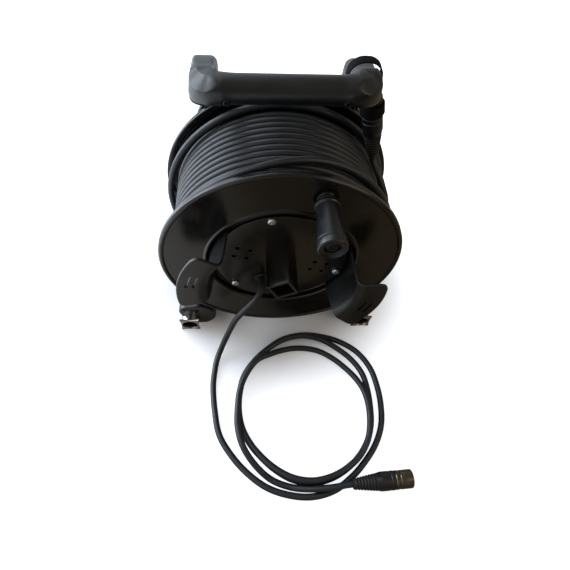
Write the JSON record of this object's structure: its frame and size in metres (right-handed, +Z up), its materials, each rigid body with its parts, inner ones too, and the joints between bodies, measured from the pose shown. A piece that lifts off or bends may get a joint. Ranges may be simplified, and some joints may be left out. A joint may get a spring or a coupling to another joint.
{
  "type": "network cable reel",
  "caption": "Portable cable drum on a tubular carrying frame, with a free-turning crank grip, storage hooks, wound network cable and a round connector on each end.",
  "frame": {"origin": "on the floor under the middle of the reel, without its free lead", "axes": "+Z up; +Y from the crank side to the back; +X to the right as seen from the crank side"},
  "size_m": [0.2513, 0.3429, 0.3004],
  "materials": {
    "gloss_black_plastic": "moulded, glossy",
    "satin_black_plastic": "moulded, satin",
    "black_powder_coat": "powder coated steel",
    "bright_chrome_steel": "chrome plated steel tube",
    "black_rubber": "matt rubber",
    "zinc_plated_steel": "bright zinc plate",
    "bearing_bronze": "sintered bronze",
    "nickel_shell": "nickel plated die casting",
    "grey_cable_jacket": "flexible jacket, satin",
    "black_strap": "woven strap"
  },
  "bodies": {
    "frame": {"frame_tube_left": "bright_chrome_steel", "frame_tube_right": "bright_chrome_steel", "bearing_plate": "black_powder_coat", "rail_end_left": "satin_black_plastic", "rail_end_right": "satin_black_plastic", "foot_front_left": "black_rubber", "foot_front_right": "black_rubber", "foot_rear_left": "black_rubber", "foot_rear_right": "black_rubber", "carry_handle": "satin_black_plastic", "grip_screw_left": "zinc_plated_steel", "grip_screw_right": "zinc_plated_steel", "axle": "zinc_plated_steel", "axle_bolt": "zinc_plated_steel", "axle_nut": "zinc_plated_steel", "axle_washer": "zinc_plated_steel", "retaining_washer": "zinc_plated_steel", "thrust_washer": "zinc_plated_steel", "cable_tail": "grey_cable_jacket", "tail_connector_boot": "black_rubber", "tail_connector_body": "satin_black_plastic", "tail_connector_shell": "nickel_shell", "tail_strap": "black_strap", "lead_drop": "grey_cable_jacket", "lead_coil": "grey_cable_jacket", "lead_plug_boot": "black_rubber", "lead_plug_body": "satin_black_plastic", "lead_plug_shell": "nickel_shell"},
    "drum": {"front_flange": "gloss_black_plastic", "rear_flange": "gloss_black_plastic", "hub_panel": "gloss_black_plastic", "drum_core": "satin_black_plastic", "panel_screw_1": "zinc_plated_steel", "panel_screw_2": "zinc_plated_steel", "panel_screw_3": "zinc_plated_steel", "rear_screw_1": "zinc_plated_steel", "rear_screw_2": "zinc_plated_steel", "rear_screw_3": "zinc_plated_steel", "bush_front": "bearing_bronze", "bush_rear": "bearing_bronze", "stowage_hook_left": "satin_black_plastic", "stowage_hook_right": "satin_black_plastic", "exit_grommet": "black_rubber", "inner_run": "grey_cable_jacket", "winding_filling": "grey_cable_jacket", "cable_winding": "grey_cable_jacket", "crank_bolt": "zinc_plated_steel", "crank_nut": "zinc_plated_steel", "crank_washer": "zinc_plated_steel"},
    "crank": {"crank_grip": "satin_black_plastic"}
  },
  "joints": [
    {"name": "drum_spin", "type": "hinge", "parent": "frame", "child": "drum", "pos_m": [0, 0.0105, 0.1342], "axis": [0, 1, 0], "continuous": true, "deforming": ["lead_drop"]},
    {"name": "crank_grip_spin", "type": "hinge", "parent": "drum", "child": "crank", "pos_m": [0.0342, -0.07, 0.2215], "axis": [0, 1, 0], "continuous": true}
  ]
}
